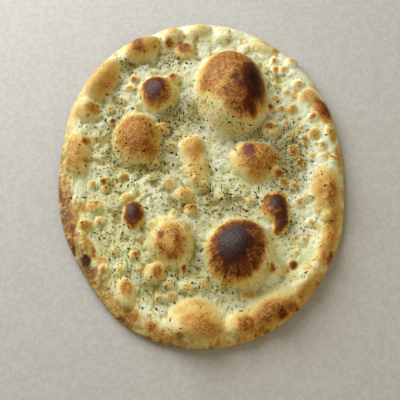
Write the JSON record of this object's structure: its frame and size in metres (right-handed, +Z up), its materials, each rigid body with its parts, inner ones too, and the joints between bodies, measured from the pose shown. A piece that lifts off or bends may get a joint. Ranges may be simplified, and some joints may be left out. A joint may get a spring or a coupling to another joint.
{
  "type": "focaccia",
  "caption": "Oval hand-stretched focaccia flatbread with a puffed rim, browned oven bubbles and dried herb flakes baked onto the top.",
  "frame": {"origin": "middle of the flat underside, on the surface that the loaf rests on", "axes": "+Z up through the loaf, +Y along the longer axis of the oval, +X across it"},
  "size_m": [0.262, 0.3208, 0.0424],
  "materials": {
    "crust": "matte baked crust, pale between the bubbles, golden to dark brown on their tops, with dark green herb flakes"
  },
  "bodies": {
    "root": {"focaccia": "crust"}
  },
  "joints": []
}
